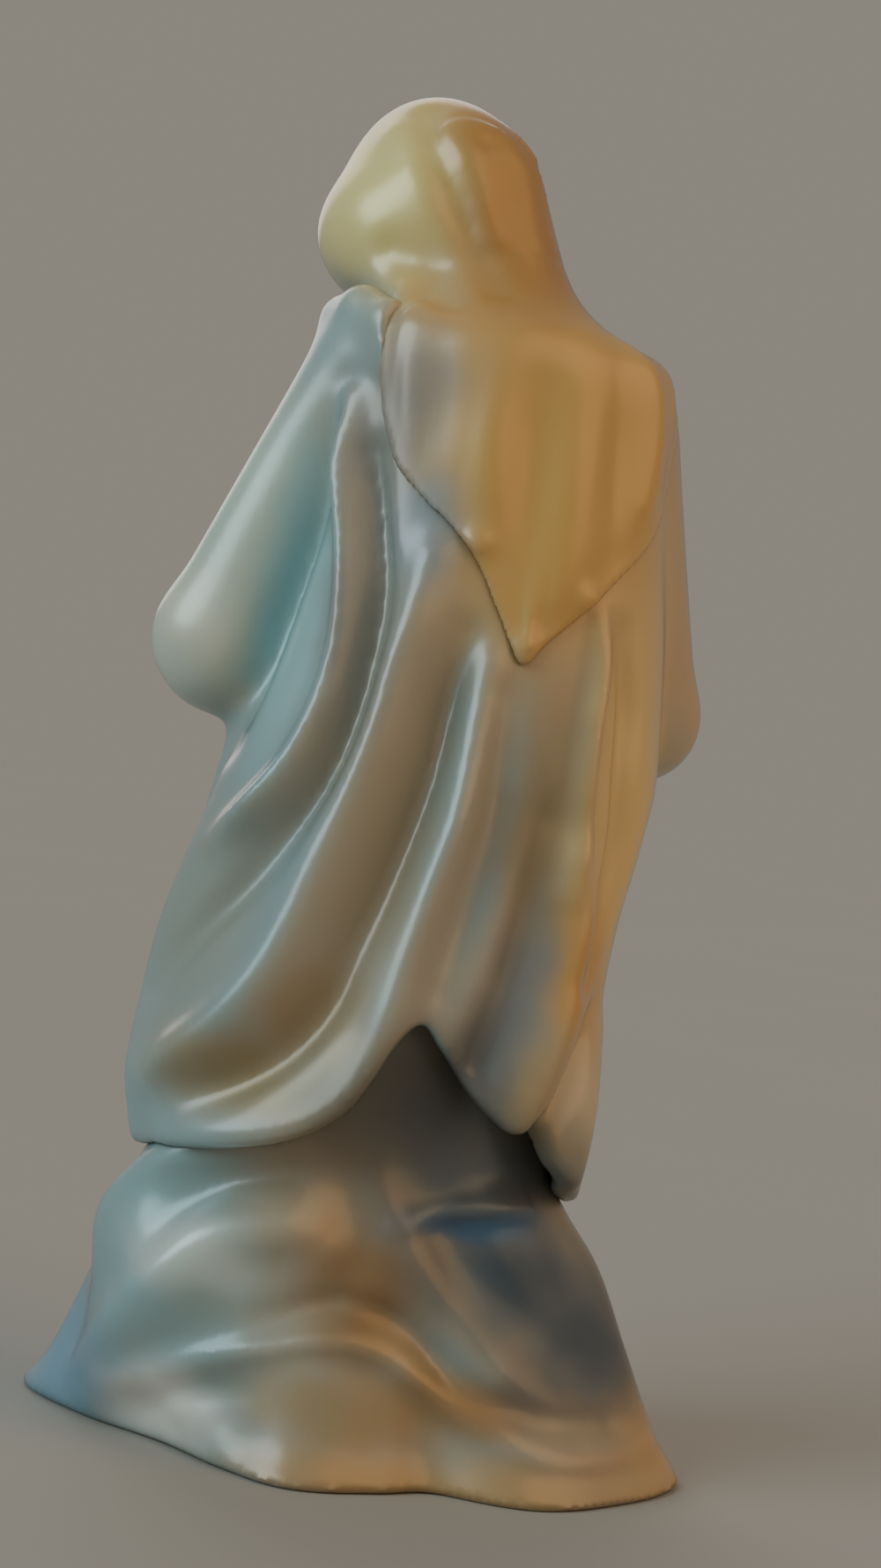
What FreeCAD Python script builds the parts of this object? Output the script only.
"""Madonna statue: a small slip-cast porcelain figure of a praying woman in gown, mantle and veil.

Millimetres. The foot plane is z = 0 and the body axis is x = y = 0. The figure faces -Y, so its
own left is +X. A direction is an angle about the body axis: 0 is the back (+Y), 90 the figure's
left, 180 the front and -90 the figure's right.

Each casting is a closed solid of its own. The castings meet in the joints a potter lutes or
cements: spigots in sockets, seats cut to the piece they lie on, and a plate let into a ledge.
"""
import math
import os

import FreeCAD
import Part

Vector = FreeCAD.Vector

# ---- driving dimensions --------------------------------------------------------------------------
WAIST_HEIGHT = 60.5         # where the skirt casting ends and the bodice casting starts
SHOULDER_PIVOT = 70.0       # above this height the shoulders are laid out by elevation
SKIRT_WALL = 2.0
BODICE_WALL = 1.9
MANTLE_WALL = 2.0
VEIL_THICKNESS = 0.9
JOINT_GAP = 0.08            # slip or cement between a spigot and its socket
PLATE_THICKNESS = 1.6
PLATE_LEDGE = 1.0
HEM_RIM = 2.6               # width of the foot ring around the base plate
VENT_RADIUS = 3.0
VENT_X = 6.0
TOOL_EXTRA = 1.0            # how far a cutting body reaches past what it cuts
SPIGOT_LENGTH = 3.5
SPIGOT_WALL = 1.4
NECK_RADIUS = 2.7
NECK_SPIGOT_RADIUS = 2.1

# ---- body sections: height, then reach to the left, right, back and front ------------------------
MANTLE_SECTIONS = [
    (14, 19.8, 13.6, 12.6, 12.0),
    (20, 19.5, 13.5, 13.0, 12.0),
    (26, 20.5, 13.6, 13.4, 12.0),
    (32, 20.1, 13.0, 13.4, 11.5),
    (40, 19.1, 13.5, 13.0, 11.0),
    (50, 17.3, 15.4, 12.2, 10.5),
    (60, 14.8, 14.9, 11.4, 10.2),
    (70, 13.2, 13.3, 10.6, 9.5),
    (78, 12.8, 12.0, 10.0, 8.6),
    (90, 12.0, 12.0, 9.6, 7.5),
]
GOWN_SECTIONS = [
    (0, 19.0, 15.0, 9.5, 13.5),
    (10, 21.4, 14.6, 9.6, 12.8),
    (16, 21.3, 13.8, 9.2, 12.2),
    (20, 18.6, 11.8, 8.6, 11.6),
    (24, 17.9, 11.2, 8.2, 11.2),
    (30, 15.0, 10.2, 8.0, 10.6),
    (42, 12.6, 9.8, 8.2, 9.2),
    (54, 10.0, 9.4, 8.0, 7.8),
    (66, 9.5, 9.6, 7.9, 7.6),
    (72, 9.9, 10.2, 7.8, 7.2),
    (77, 10.6, 10.9, 7.9, 6.8),
    (90, 10.6, 10.9, 7.0, 6.0),
]
SECTION_SQUARENESS = 2.2    # 2 is an ellipse, more is squarer

# How far the skirt's hem reaches in each direction, and the height its flare starts from
HEM_REACH = [
    (-150, 18.0), (-120, 20.4), (-95, 22.2), (-70, 23.2), (-48, 20.0), (-27, 17.2), (-8, 12.2),
    (12, 13.0), (38, 15.6), (62, 14.8), (85, 15.8), (105, 20.4), (124, 25.2), (142, 22.6),
    (165, 18.4),
]
FLARE_TOP = 22.0
FLARE_EVEN_SHARE = 0.62     # the rest of the flare grows with the cube of the drop

# Arms inside the mantle: shoulder, elbow, and the point near the wrist where the cloth ends
LEFT_ARM = ((10.6, -1.0, 78.5, 4.4), (17.6, -4.5, 58.0, 5.0), (9.0, -13.0, 64.0, 4.2))
RIGHT_ARM = ((-10.0, -0.5, 77.0, 4.4), (-15.9, -4.8, 57.0, 5.1), (-7.0, -12.5, 63.0, 4.0))
ARM_BLEND = 4.0

# ---- folds: depth (a ridge is positive), half width, then (direction, height) points -------------
MANTLE_FOLDS = [
    # the long fold from the left shoulder to the left side, and its valley
    (1.8, 1.5, [(71, 71), (65, 67), (60, 63), (57, 58.5), (57.5, 54), (62, 49.5), (70, 46), (76, 44.5)]),
    (-1.3, 1.5, [(59, 67), (54, 63), (51.5, 58.5), (51.5, 54), (55, 49.5), (62, 45), (70, 40.5), (79, 36.5)]),
    (-1.2, 1.9, [(84, 71.5), (87, 66.4), (90, 60.5), (91, 55.3), (91, 52)]),
    # two folds that sweep from the veil's edge down to the left, and the valley between them
    (1.7, 1.8, [(38, 61), (40.5, 57.5), (43, 51.5), (49, 43.5), (52, 39.5), (57, 35), (65, 31), (75, 27.9)]),
    (-1.5, 1.8, [(25, 55), (27, 50.5), (31, 46), (36, 41.5), (41, 37.5), (47, 32.5), (56, 29), (67, 26.6)]),
    (1.4, 1.7, [(14, 52), (16, 47.6), (20, 42.8), (23, 38.6), (26, 34), (29, 30.4), (34, 27.2), (44, 24.5),
                (60, 23.1)]),
    # the middle of the back
    (-0.8, 2.0, [(4, 49.5), (7, 44.5), (11, 40)]),
    (-1.2, 2.0, [(-14, 42.4), (-11, 38.6), (-6, 34), (-1, 30.5)]),
    # the right side: a fold that opens into a rounded tongue at the hem
    (1.2, 1.2, [(-29, 60), (-27, 55.3), (-26, 50.6), (-26, 46.4)]),
    (-1.0, 1.4, [(-45, 57), (-45, 52), (-46, 47), (-42, 42.3)]),
    (1.2, 2.3, [(-30, 40.3), (-29, 36.5), (-25, 32.7), (-20, 28.9), (-16, 25.5)]),
    (-1.1, 1.3, [(-38, 31), (-29, 27.5), (-23, 24.5)]),
    # folds that hang from the arms
    (-1.1, 1.6, [(102, 42), (104, 31), (104, 20)]),
    (0.9, 1.7, [(112, 42), (114, 30), (114, 20)]),
    (0.9, 1.7, [(-91, 40), (-93, 30), (-93, 20)]),
    (-1.1, 1.6, [(-104, 41), (-106, 30), (-106, 20)]),
]
SKIRT_FOLDS = [
    # two crests that sweep out to the left, the hollow beside them and the roll above the hem
    (0.8, 1.8, [(97, 15.4), (91, 18.2), (82, 20.4), (71, 21.9)]),
    (1.6, 2.2, [(89, 6.1), (77, 10.3), (69, 14), (61, 16.4), (50, 17.3)]),
    (-1.0, 1.8, [(34, 16.1), (38, 12.8), (43, 11.2)]),
    (0.7, 1.6, [(76, 5.4), (62, 7.7), (50, 9), (36, 10.1), (20, 9.8), (-1, 7.5), (-18, 4.9)]),
    # a slanting fold to the right
    (0.7, 1.8, [(9, 16.6), (-11, 12), (-22, 8.7)]),
    (-0.6, 2.2, [(-17, 16), (-33, 12.3), (-48, 8.7)]),
    # the sides and the front, where the cloth falls straight
    (1.0, 2.2, [(-75, 2), (-70, 11), (-66, 19)]),
    (-1.0, 2.0, [(-97, 1), (-94, 12), (-92, 20)]),
    (1.0, 2.2, [(-121, 0), (-124, 18), (-130, 36)]),
    (-1.0, 1.9, [(-136, 0), (-141, 20), (-150, 40), (-158, 54)]),
    (1.1, 1.9, [(-151, 0), (-158, 20), (-166, 40), (-170, 54)]),
    (-1.0, 1.7, [(-165, 0), (-171, 20), (-176, 40), (-178, 54)]),
    (1.1, 1.9, [(-179, 0), (-183, 20), (-186, 40), (-187, 54)]),
    (-1.0, 1.7, [(-193, 0), (-194, 20), (-194, 40), (-193, 54)]),
    (1.1, 1.9, [(-208, 0), (-206, 20), (-203, 40), (-200, 54)]),
    (-1.0, 1.9, [(-222, 0), (-217, 20), (-211, 40), (-206, 54)]),
    (1.0, 2.2, [(-240, 0), (-233, 20), (-225, 38)]),
]
FOLD_SCALE = 14.0           # millimetres of surface for one radian of direction

# The mantle's lower edge, and the directions of its two front edges at some heights
MANTLE_HEM = [
    (-180, 22.0), (-120, 21.0), (-64, 20.4), (-41, 22.6), (-34, 24.1), (-28, 26.2), (-22, 27.4), (-15, 25.9),
    (-8, 26.8), (-2, 28.0), (4, 29.5), (12, 31.3), (19, 32.8), (25, 31.1), (29, 28.9), (33, 26.9), (40, 25.0),
    (49, 23.6), (61, 22.5), (75, 21.7), (94, 20.8), (130, 20.5),
]
FRONT_EDGE = [(18, 127), (40, 128), (54, 131), (62, 134), (70, 143), (78, 151), (90, 154)]

# The veil's lower edge over the mantle: direction and height
VEIL_EDGE = [
    (-80, 84.0), (-76, 81.0), (-69, 75.6), (-59, 71.3), (-43, 67.6), (-29, 64.8), (-17, 62.4), (-6, 60.2),
    (1, 58.7), (7, 60.4), (14, 62.9), (22, 65.6), (31, 67.5), (45, 69.8), (57, 72.8), (64, 77.2), (69, 84.0),
]

# Head: centre, half sizes, and how it is turned, tilted and bowed (degrees)
HEAD_CENTRE = Vector(5.5, -7.4, 92.6)
HEAD_SIZE = (4.9, 5.7, 7.0)
HEAD_TURN = 12.0
HEAD_TILT = 13.0
HEAD_BOW = 20.0
HAIR_SIZE = (5.9, 6.5, 7.7)
HOOD_CENTRE = Vector(5.1, -6.2, 92.6)
HOOD_SIZE = (7.6, 8.2, 8.8)
HOOD_LINING = (6.3, 7.3, 7.9)
NECK_FOOT = Vector(1.4, -2.6, 79.5)

# Hands pressed together in front of the breast
PALM_CENTRE = Vector(2.0, -17.0, 71.0)
FINGER_LEAN = 24.0          # the fingertips lean forward from upright
# Hand sections from wrist to fingertips: place along the hand, half width, thickness of one hand
HAND_SECTIONS = [
    (-5.4, 1.5, 1.4), (-3.4, 2.1, 1.7), (-1.0, 2.4, 1.7), (2.0, 2.2, 1.4), (4.4, 1.6, 1.0),
    (5.8, 0.8, 0.6),
]


# ---- curves --------------------------------------------------------------------------------------
def read_curve(points, at):
    """Value at a place on the smooth curve through (place, value) points."""
    at = min(max(at, points[0][0]), points[-1][0])
    last = len(points) - 1
    i = 0
    while i < last - 1 and points[i + 1][0] < at:
        i += 1

    def slope(k):
        a = points[max(k - 1, 0)]
        b = points[min(k + 1, last)]
        return (b[1] - a[1]) / (b[0] - a[0])

    step = points[i + 1][0] - points[i][0]
    t = (at - points[i][0]) / step
    start = (2 * t - 3) * t * t + 1
    end = (3 - 2 * t) * t * t
    leave = ((t - 2) * t + 1) * t * step
    arrive = (t - 1) * t * t * step
    return start * points[i][1] + end * points[i + 1][1] + leave * slope(i) + arrive * slope(i + 1)


def read_round(points, direction):
    """The same for a curve that closes on itself after 360 degrees."""
    before = [(a - 360, v) for a, v in points]
    after = [(a + 360, v) for a, v in points]
    return read_curve(before + points + after, direction)


def wrap(angle):
    return (angle + 180.0) % 360.0 - 180.0


def section_reach(sections, direction, height):
    """Reach of a rounded four-sided section in one direction."""
    left, right, back, front = [
        read_curve([(row[0], row[k]) for row in sections], height) for k in (1, 2, 3, 4)]
    side = math.sin(math.radians(direction))
    depth = math.cos(math.radians(direction))
    to_left = 0.5 + 0.5 * math.tanh(2.5 * side)
    to_back = 0.5 + 0.5 * math.tanh(2.5 * depth)
    across = left * to_left + right * (1 - to_left)
    along = back * to_back + front * (1 - to_back)
    n = SECTION_SQUARENESS
    return (abs(side / across) ** n + abs(depth / along) ** n) ** (-1.0 / n)


def fold_depth(folds, direction, height):
    """How far the folds lift or sink the cloth at one place."""
    total = 0.0
    for depth, half_width, line in folds:
        nearest = 1e9
        for (a0, z0), (a1, z1) in zip(line, line[1:]):
            du = math.radians(a1 - a0) * FOLD_SCALE
            dz = z1 - z0
            pu = math.radians(wrap(direction - a0)) * FOLD_SCALE
            pz = height - z0
            t = min(max((pu * du + pz * dz) / (du * du + dz * dz), 0.0), 1.0)
            nearest = min(nearest, math.hypot(pu - t * du, pz - t * dz))
        total += depth * math.exp(-(nearest / half_width) ** 2)
    return total


# ---- the draped body as a distance, so that arms and trunk blend ---------------------------------
def blend(a, b, size):
    h = max(size - abs(a - b), 0.0) / size
    return min(a, b) - h * h * h * size / 6.0


def limb_distance(point, start, end):
    axis = [end[k] - start[k] for k in range(3)]
    rel = [point[k] - start[k] for k in range(3)]
    length2 = sum(c * c for c in axis)
    t = min(max(sum(a * r for a, r in zip(axis, rel)) / length2, 0.0), 1.0)
    radius = start[3] + (end[3] - start[3]) * t
    return math.sqrt(sum((rel[k] - t * axis[k]) ** 2 for k in range(3))) - radius


SHOULDER_TOP = 84.0
SHOULDER_ROUNDING = 5.0


def body_distance(x, y, z):
    direction = math.degrees(math.atan2(x, y))
    trunk = 0.93 * (math.hypot(x, y) - section_reach(MANTLE_SECTIONS, direction, z))
    shoulder_top = z - (SHOULDER_TOP - 0.10 * abs(x - 3) - 0.02 * y * y)
    trunk = -blend(-trunk, -shoulder_top, SHOULDER_ROUNDING)
    for arm in (LEFT_ARM, RIGHT_ARM):
        upper = limb_distance((x, y, z), arm[0], arm[1])
        fore = limb_distance((x, y, z), arm[1], arm[2])
        trunk = blend(trunk, blend(upper, fore, 2.0), ARM_BLEND)
    return trunk


NEAREST = 2.0               # the surface is looked for between these reaches
FARTHEST = 30.0
RAY_PRECISION = 0.02


def body_ray(direction, elevation, height):
    """Distance from the axis to the draped body's surface along a ray."""
    side = math.sin(math.radians(direction)) * math.cos(math.radians(elevation))
    depth = math.cos(math.radians(direction)) * math.cos(math.radians(elevation))
    rise = math.sin(math.radians(elevation))
    near = NEAREST
    far = FARTHEST
    while far - near > RAY_PRECISION:
        middle = (near + far) / 2
        if body_distance(side * middle, depth * middle, height + rise * middle) < 0:
            near = middle
        else:
            far = middle
    return near


# ---- solids --------------------------------------------------------------------------------------
def polar(direction, reach, height):
    a = math.radians(direction)
    return Vector(reach * math.sin(a), reach * math.cos(a), height)


def ring_wire(points):
    curve = Part.BSplineCurve()
    curve.interpolate(Points=points, PeriodicFlag=True)
    return Part.Wire([curve.toShape()])


RING_POINTS = 48


def ring_directions(count):
    return [360.0 * k / count - 180.0 for k in range(count)]


def ring_loft(reach, heights, count=RING_POINTS):
    """Solid through closed sections; reach(direction, height) gives each outline."""
    wires = []
    for z in heights:
        wires.append(ring_wire([polar(a, reach(a, z), z) for a in ring_directions(count)]))
    return Part.makeLoft(wires, True, False)


def ring_prism(reach, low, high):
    """Straight-walled solid on one closed outline; reach(direction) gives it."""
    face = Part.Face(ring_wire([polar(a, reach(a), low) for a in ring_directions(RING_POINTS)]))
    return face.extrude(Vector(0, 0, high - low))


def clamped_knots(count, degree):
    """Knots and multiplicities of an open curve with this many poles."""
    inner = count - degree - 1
    knots = [float(k) for k in range(inner + 2)]
    return knots, [degree + 1] + [1] * inner + [degree + 1]


def net_face(rows, row_degree=3):
    """Smooth face on a net of poles; rows of poles run along v."""
    u_knots, u_mults = clamped_knots(len(rows), row_degree)
    v_knots, v_mults = clamped_knots(len(rows[0]), 3)
    surface = Part.BSplineSurface()
    surface.buildFromPolesMultsKnots(rows, u_mults, v_mults, u_knots, v_knots, False, False, row_degree, 3)
    return surface.toShape()


def thick_sheet(outer_rows, inner_rows):
    """Closed solid between two nets of poles that share their layout."""
    faces = [net_face(outer_rows), net_face(inner_rows)]
    for k in (0, -1):
        faces.append(net_face([outer_rows[k], inner_rows[k]], 1))
        outer_rim = [row[k] for row in outer_rows]
        inner_rim = [row[k] for row in inner_rows]
        faces.append(net_face([outer_rim, inner_rim], 1))
    skin = Part.Compound(faces)
    skin.sewShape()
    solid = Part.Solid(skin.Shells[0])
    if solid.Volume < 0:
        solid.reverse()
    return solid


def ellipsoid(size, placement):
    stretch = FreeCAD.Matrix(size[0], 0, 0, 0, 0, size[1], 0, 0, 0, 0, size[2], 0, 0, 0, 0, 1)
    ball = Part.makeSphere(1.0).transformGeometry(stretch)
    ball.transformShape(placement.toMatrix())
    return ball


def head_placement(centre):
    """The head's own axes: x to its left, y to its back, z to its crown."""
    turn = FreeCAD.Rotation(Vector(0, 0, 1), HEAD_TURN)
    tilt = FreeCAD.Rotation(Vector(0, 1, 0), HEAD_TILT)
    bow = FreeCAD.Rotation(Vector(1, 0, 0), HEAD_BOW)
    return FreeCAD.Placement(centre, turn.multiply(tilt).multiply(bow))


def rod(start, end, radius, end_radius=None):
    axis = end.sub(start)
    if end_radius is None:
        return Part.makeCylinder(radius, axis.Length, start, axis)
    return Part.makeCone(radius, end_radius, axis.Length, start, axis)


def biggest(shape):
    """The main solid of a cut that leaves crumbs."""
    return max(shape.Solids, key=lambda s: s.Volume)


# ---- gown ----------------------------------------------------------------------------------------
def gown_plain(direction, height):
    base = section_reach(GOWN_SECTIONS, direction, height)
    drop = min(max(1 - height / FLARE_TOP, 0.0), 1.0)
    flare = read_round(HEM_REACH, direction) - section_reach(GOWN_SECTIONS, direction, 0.0)
    return base + flare * (FLARE_EVEN_SHARE * drop + (1 - FLARE_EVEN_SHARE) * drop ** 3)


def gown_reach(direction, height):
    return gown_plain(direction, height) + fold_depth(SKIRT_FOLDS, direction, height)


def plate_reach(direction):
    return read_round(HEM_REACH, direction) - HEM_RIM


def waist_reach(direction):
    return section_reach(GOWN_SECTIONS, direction, WAIST_HEIGHT)


SKIRT_HEIGHTS = [0, 2, 5, 9, 13, 17, 22, 28, 36, 46, 55, WAIST_HEIGHT]
SKIRT_RING_POINTS = 60
HOLLOW_HEIGHTS = [PLATE_THICKNESS, 6, 11, 17, 24, 34, 46, WAIST_HEIGHT - SPIGOT_LENGTH]
HOLLOW_EASE = 0.6           # the hollow ignores the folds, so its wall gets this much more


def skirt_hollow_reach(direction, height):
    ledge = PLATE_LEDGE * (1 - (height - PLATE_THICKNESS) / FLARE_TOP)
    return gown_plain(direction, height) - SKIRT_WALL - HOLLOW_EASE - max(ledge, 0.0)


def waist_socket_reach(direction):
    return waist_reach(direction) - SKIRT_WALL


skirt = ring_loft(gown_reach, SKIRT_HEIGHTS, SKIRT_RING_POINTS)
skirt = skirt.cut(ring_loft(skirt_hollow_reach, HOLLOW_HEIGHTS))
skirt = skirt.cut(ring_prism(plate_reach, -TOOL_EXTRA, PLATE_THICKNESS))
skirt = skirt.cut(ring_prism(waist_socket_reach, WAIST_HEIGHT - SPIGOT_LENGTH, WAIST_HEIGHT + TOOL_EXTRA))

plate = ring_prism(lambda a: plate_reach(a) - JOINT_GAP, 0.0, PLATE_THICKNESS)
vent = Part.makeCylinder(VENT_RADIUS, PLATE_THICKNESS + 2 * TOOL_EXTRA, Vector(VENT_X, 0, -TOOL_EXTRA))
plate = plate.cut(vent)

# The bodice: a thin-walled top for the gown, closed over the shoulders, with a spigot below
BODICE_HEIGHTS = [WAIST_HEIGHT, 64, 68, 72, 75, 77, 78.5, 80, 81.3, 82.4, 83.2, 83.7]
SHOULDER_START = 77.0
SHOULDER_RISE = 7.1         # the shoulders close as a quarter ellipse this high


def bodice_reach(direction, height):
    up = max(height - SHOULDER_START, 0.0) / SHOULDER_RISE
    return math.sqrt(1 - up * up) * section_reach(GOWN_SECTIONS, direction, min(height, SHOULDER_START))


bodice_outside = ring_loft(bodice_reach, BODICE_HEIGHTS)
BODICE_HOLLOW_TOP = 76.0
SPIGOT_OVERLAP = 0.5        # how far the spigot reaches into the bodice it is one casting with
bodice_hollow = ring_prism(lambda a: waist_reach(a) - BODICE_WALL - SPIGOT_WALL,
                           WAIST_HEIGHT - SPIGOT_LENGTH - TOOL_EXTRA, BODICE_HOLLOW_TOP)
spigot = ring_prism(lambda a: waist_socket_reach(a) - JOINT_GAP,
                    WAIST_HEIGHT - SPIGOT_LENGTH + JOINT_GAP, WAIST_HEIGHT + SPIGOT_OVERLAP)
bodice = bodice_outside.fuse(spigot).cut(bodice_hollow)

neck_axis = HEAD_CENTRE.sub(NECK_FOOT)
neck_axis.normalize()
bodice = bodice.cut(rod(NECK_FOOT, HEAD_CENTRE, NECK_SPIGOT_RADIUS + JOINT_GAP))

# ---- sash: a band over the waist joint with two ribbon ends --------------------------------------
SASH_LOW = 58.6
SASH_HIGH = 62.8
SASH_THICKNESS = 0.9
SASH_CLEAR = 0.35
RIBBON_CLEAR = 0.4
RIBBONS = [(171.0, 180.0, 34.0), (-178.0, -169.0, 30.0)]   # two directions and the height of the end
RIBBON_COLUMNS = 4
RIBBON_ROWS = 12


def sash_inner(direction):
    widest = max(gown_reach(direction, z) for z in (SASH_LOW, WAIST_HEIGHT, SASH_HIGH))
    return widest + SASH_CLEAR


sash = ring_prism(lambda a: sash_inner(a) + SASH_THICKNESS, SASH_LOW, SASH_HIGH)
for first, last, bottom in RIBBONS:
    outer_rows = []
    inner_rows = []
    step = (SASH_LOW + TOOL_EXTRA - bottom) / RIBBON_ROWS
    heights = [bottom + step * j for j in range(RIBBON_ROWS + 1)]
    for k in range(RIBBON_COLUMNS + 1):
        angle = first + (last - first) * k / RIBBON_COLUMNS
        reaches = [gown_reach(angle, z) + RIBBON_CLEAR for z in heights]
        outer_rows.append([polar(angle, r + SASH_THICKNESS, z) for r, z in zip(reaches, heights)])
        inner_rows.append([polar(angle, r, z) for r, z in zip(reaches, heights)])
    sash = sash.fuse(thick_sheet(outer_rows, inner_rows))
sash = sash.cut(ring_prism(sash_inner, SASH_LOW - TOOL_EXTRA, SASH_HIGH + TOOL_EXTRA))

# ---- mantle --------------------------------------------------------------------------------------
MANTLE_COLUMNS = 56
MANTLE_ROWS = 26
NECK_STATION = 83.2         # the last station before the neck
NECK_CLEAR = 0.4            # room between the mantle and the neck
DEGREES_PER_STATION = 5.0


def ray_at(direction, station):
    """A ray from the axis: level up to the shoulder pivot, rising above it.

    A station is a height in millimetres; above the pivot it is about the height on the shoulder.
    """
    if station <= SHOULDER_PIVOT:
        return direction, 0.0, station
    return direction, (station - SHOULDER_PIVOT) * DEGREES_PER_STATION, SHOULDER_PIVOT


def ray_point(direction, elevation, height, reach):
    lift = math.radians(elevation)
    return polar(direction, reach * math.cos(lift), height + reach * math.sin(lift))


mantle_places = []
for k in range(MANTLE_COLUMNS + 1):
    share = 2.0 * k / MANTLE_COLUMNS - 1.0
    hem = read_curve(MANTLE_HEM, share * read_curve(FRONT_EDGE, MANTLE_HEM[0][1]))
    column = []
    for j in range(MANTLE_ROWS + 1):
        station = hem + (NECK_STATION - hem) * j / MANTLE_ROWS
        column.append((share * read_curve(FRONT_EDGE, station), station))
    mantle_places.append(column)

mantle_reach = [
    [body_ray(*ray_at(*place)) + fold_depth(MANTLE_FOLDS, *place) for place in column]
    for column in mantle_places]


def mantle_inner(k, j):
    """Under the lowest cloth nearby, so that the wall never gets thin."""
    near_columns = range(max(k - 1, 0), min(k + 1, MANTLE_COLUMNS) + 1)
    near_rows = range(max(j - 1, 0), min(j + 1, MANTLE_ROWS) + 1)
    return min(mantle_reach[a][b] for a in near_columns for b in near_rows) - MANTLE_WALL


outer_rows = []
inner_rows = []
for k, column in enumerate(mantle_places):
    rays = [ray_at(*place) for place in column]
    outer_rows.append([ray_point(*ray, mantle_reach[k][j]) for j, ray in enumerate(rays)])
    inner_rows.append([ray_point(*ray, mantle_inner(k, j)) for j, ray in enumerate(rays)])
mantle = thick_sheet(outer_rows, inner_rows)

neck_room = rod(NECK_FOOT, HEAD_CENTRE, NECK_RADIUS + NECK_CLEAR)
for tool in (bodice_outside, sash, skirt, neck_room):
    mantle = mantle.cut(tool)

# ---- head, hair and neck -------------------------------------------------------------------------
SPIGOT_START = 0.3          # room under the neck's spigot in its socket
THROAT_START = 5.0          # along the neck, where it stands full width on the bodice
THROAT_FLARE = 0.3
CHIN_SIZE = (1.6, 1.5, 1.4)
CHIN_PLACE = Vector(0, -4.2, -4.9)      # places on the head are in its own axes
NOSE_SIZE = (0.75, 1.1, 1.5)
NOSE_PLACE = Vector(0, -5.6, -1.2)
place = head_placement(HEAD_CENTRE)


def on_head(size, centre):
    return ellipsoid(size, head_placement(place.multVec(centre)))


skull = ellipsoid(HEAD_SIZE, place)
neck = rod(NECK_FOOT + neck_axis * SPIGOT_START, HEAD_CENTRE, NECK_SPIGOT_RADIUS)
throat = rod(NECK_FOOT + neck_axis * THROAT_START, HEAD_CENTRE, NECK_RADIUS, NECK_RADIUS + THROAT_FLARE)
chin = on_head(CHIN_SIZE, CHIN_PLACE)
nose = on_head(NOSE_SIZE, NOSE_PLACE)
head = skull.fuse([neck, throat, chin, nose])
head = head.cut(bodice)

# the hair is a cap around the skull, open over the face and below the jaw
FACE_WINDOW_SIZE = (3.9, 9.0, 5.2)
FACE_WINDOW_PLACE = Vector(0, -8.0, -1.3)
BELOW_HAIR_SIZE = (5.2, 6.0, 5.0)
BELOW_HAIR_PLACE = Vector(0, -3.0, -7.0)
hair = ellipsoid(HAIR_SIZE, place).cut(skull.fuse([throat, chin, nose]))
hair = hair.cut(on_head(FACE_WINDOW_SIZE, FACE_WINDOW_PLACE))
hair = hair.cut(on_head(BELOW_HAIR_SIZE, BELOW_HAIR_PLACE))
hair = biggest(hair)

# ---- veil: a hood over the hair, falling over the nape to a point on the back --------------------
hood = ellipsoid(HOOD_SIZE, head_placement(HOOD_CENTRE))
lining = ellipsoid(HOOD_LINING, head_placement(HOOD_CENTRE))
LOBE_CENTRE = Vector(7.6, -5.4, 90.0)   # the cloth bulges beside the left cheek
LOBE_SIZE = (6.6, 7.0, 5.7)
lobe = ellipsoid(LOBE_SIZE, FreeCAD.Placement(LOBE_CENTRE, FreeCAD.Rotation()))
FALL_TOP = Vector(3.4, -3.2, 91.0)
FALL_FOOT = Vector(0.2, 1.2, 80.0)
FALL_TOP_RADIUS = 5.6
FALL_FOOT_RADIUS = 7.8
HOOD_WALL = 1.2
VEIL_COLUMNS = 26
VEIL_ROWS = 14
VEIL_BURIED = 1.0           # how far the sheet starts under the mantle's surface before it is cut

outer_rows = []
inner_rows = []
for k in range(VEIL_COLUMNS + 1):
    direction = VEIL_EDGE[0][0] + (VEIL_EDGE[-1][0] - VEIL_EDGE[0][0]) * k / VEIL_COLUMNS
    edge = min(read_curve(VEIL_EDGE, direction), NECK_STATION - 3.0)
    outer_row = []
    inner_row = []
    for j in range(VEIL_ROWS + 1):
        station = edge + (NECK_STATION - edge) * j / VEIL_ROWS
        ray = ray_at(direction, station)
        reach = body_ray(*ray) + fold_depth(MANTLE_FOLDS, direction, station)
        outer_row.append(ray_point(*ray, reach + VEIL_THICKNESS))
        inner_row.append(ray_point(*ray, reach - VEIL_BURIED))
    outer_rows.append(outer_row)
    inner_rows.append(inner_row)
drape = thick_sheet(outer_rows, inner_rows)

fall = rod(FALL_FOOT, FALL_TOP, FALL_FOOT_RADIUS, FALL_TOP_RADIUS)
fall_hollow = rod(FALL_FOOT, FALL_TOP, FALL_FOOT_RADIUS - HOOD_WALL, FALL_TOP_RADIUS - HOOD_WALL)
VEIL_WINDOW_SIZE = (4.9, 10.0, 6.6)
VEIL_WINDOW_PLACE = Vector(0, -9.0, -2.2)
THROAT_CLEAR = 0.9
FRONT_ROOM_CORNER = Vector(-8, -18, 70) # no veil hangs before the throat in this block
FRONT_ROOM_SIZE = (20, 12, 20)
veil_window = on_head(VEIL_WINDOW_SIZE, VEIL_WINDOW_PLACE)
throat_room = rod(NECK_FOOT, HEAD_CENTRE, NECK_RADIUS + THROAT_CLEAR)
front_room = Part.makeBox(*FRONT_ROOM_SIZE, FRONT_ROOM_CORNER)
veil = hood.fuse(lobe).fuse(fall).fuse(drape)
for tool in (lining, fall_hollow, veil_window, throat_room, front_room, mantle, bodice_outside, hair, head):
    veil = veil.cut(tool)
veil = biggest(veil)

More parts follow.
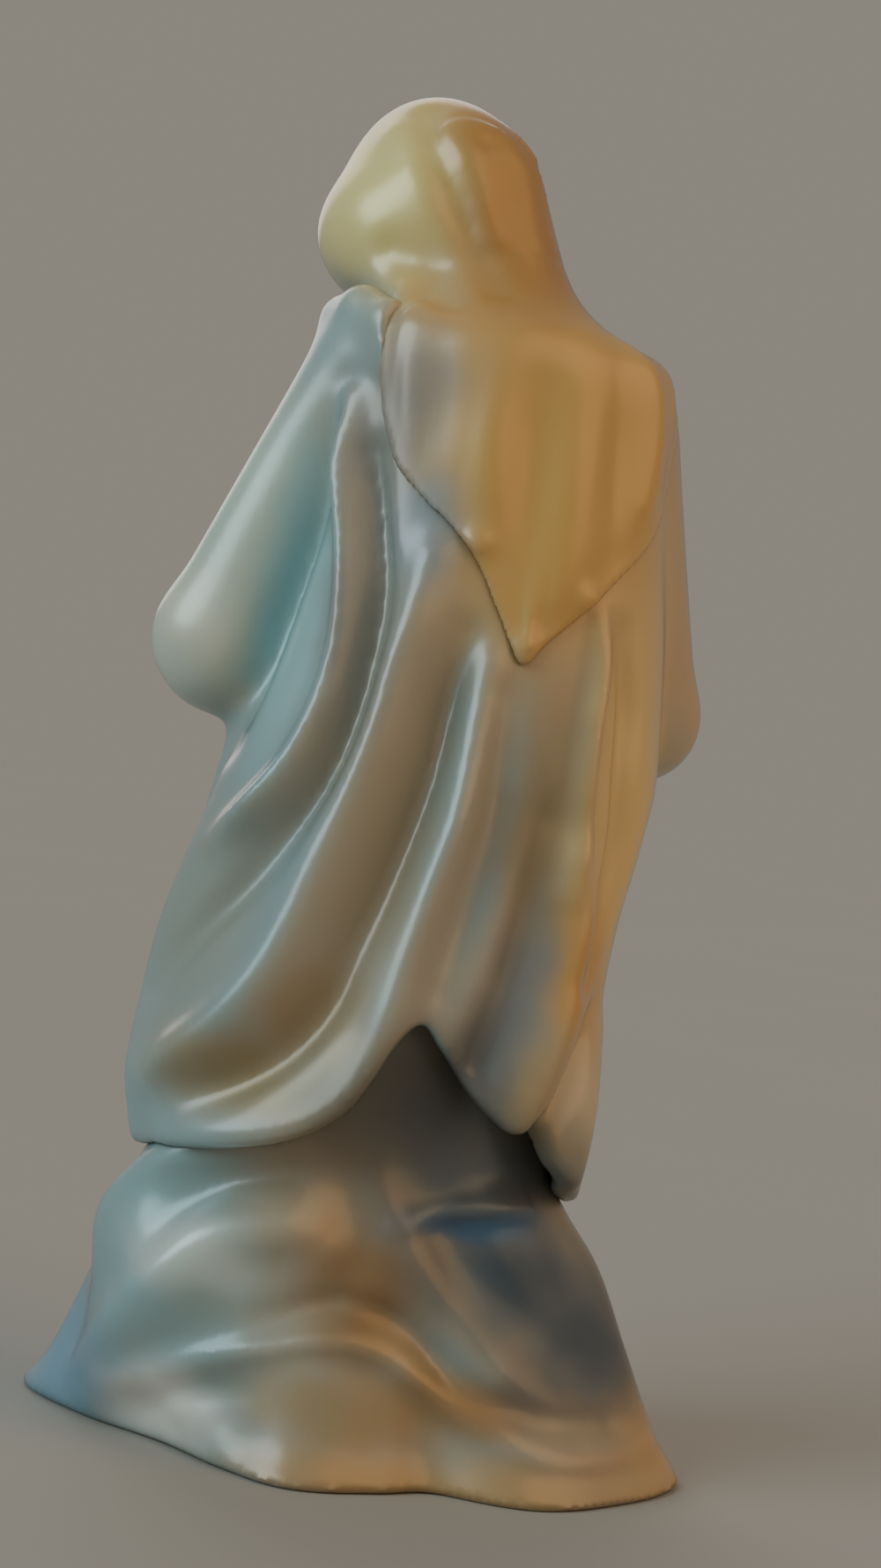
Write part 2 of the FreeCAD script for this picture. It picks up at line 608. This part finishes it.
# ---- sleeves, cuffs and hands --------------------------------------------------------------------
SLEEVE_RADIUS = 4.3
MOUTH_RADIUS = 3.2
CUFF_RADIUS = 2.4
CUFF_DEPTH = 2.5            # how far the cuff stands in the sleeve
CUFF_PROUD = 1.4
WRIST_RADIUS = 1.3
WRIST_DEPTH = 2.0
WRIST_ENTRY = Vector(0.7, 0, -4.6)      # where the wrist enters the left hand
LEFT_ELBOW = Vector(14.2, -8.6, 60.6)
LEFT_MOUTH = Vector(5.7, -14.4, 65.6)
RIGHT_ELBOW = Vector(-11.2, -8.4, 60.2)
RIGHT_MOUTH = Vector(-1.7, -14.4, 65.6)

lean = FreeCAD.Rotation(Vector(1, 0, 0), FINGER_LEAN)


def palm(side):
    """One hand, flat on the middle plane and rounded on its back."""
    wires = []
    for along, half_width, thickness in HAND_SECTIONS:
        rear = PALM_CENTRE + lean.multVec(Vector(0, half_width, along))
        back = PALM_CENTRE + lean.multVec(Vector(side * thickness, 0, along))
        fore = PALM_CENTRE + lean.multVec(Vector(0, -half_width, along))
        wires.append(Part.Wire([Part.Arc(rear, back, fore).toShape(), Part.makeLine(fore, rear)]))
    return Part.makeLoft(wires, True, False)


def forearm(side, elbow, mouth):
    """Sleeve, cuff and hand of one arm; side is 1 for the figure's left and -1 for its right."""
    along = mouth.sub(elbow)
    along.normalize()
    cuff_foot = mouth - along * CUFF_DEPTH
    cuff_end = mouth + along * CUFF_PROUD
    entry = Vector(side * WRIST_ENTRY.x, WRIST_ENTRY.y, WRIST_ENTRY.z)
    palm_foot = PALM_CENTRE + lean.multVec(entry)
    sleeve = rod(elbow, mouth, SLEEVE_RADIUS, MOUTH_RADIUS)
    sleeve = sleeve.cut(mantle).cut(bodice).cut(sash)
    sleeve = sleeve.cut(rod(cuff_foot, cuff_end, CUFF_RADIUS + JOINT_GAP))
    cuff = rod(cuff_foot, cuff_end, CUFF_RADIUS)
    wrist_foot = cuff_end - along * WRIST_DEPTH
    cuff = cuff.cut(rod(wrist_foot, cuff_end + along, WRIST_RADIUS + JOINT_GAP))
    peg = rod(wrist_foot, cuff_end, WRIST_RADIUS)
    wrist = rod(cuff_end, palm_foot, WRIST_RADIUS)
    knuckle = Part.makeSphere(WRIST_RADIUS, cuff_end)
    hand = palm(side).fuse([peg, wrist, knuckle]).cut(cuff).cut(sleeve)
    return biggest(sleeve), biggest(cuff), biggest(hand)


left_sleeve, left_cuff, left_hand = forearm(1, LEFT_ELBOW, LEFT_MOUTH)
right_sleeve, right_cuff, right_hand = forearm(-1, RIGHT_ELBOW, RIGHT_MOUTH)

# ---- write one file per casting ------------------------------------------------------------------
castings = {
    "base_plate": plate,
    "gown_skirt": skirt,
    "gown_bodice": bodice,
    "sash": sash,
    "mantle": mantle,
    "veil": veil,
    "head": head,
    "hair": hair,
    "left_sleeve": left_sleeve,
    "right_sleeve": right_sleeve,
    "left_cuff": left_cuff,
    "right_cuff": right_cuff,
    "left_hand": left_hand,
    "right_hand": right_hand,
}
os.makedirs("parts", exist_ok=True)
for name, shape in castings.items():
    solid = biggest(shape)
    print(name, solid.isValid(), len(shape.Solids), round(solid.Volume, 1), solid.BoundBox)
    solid.exportStep("parts/%s.step" % name)
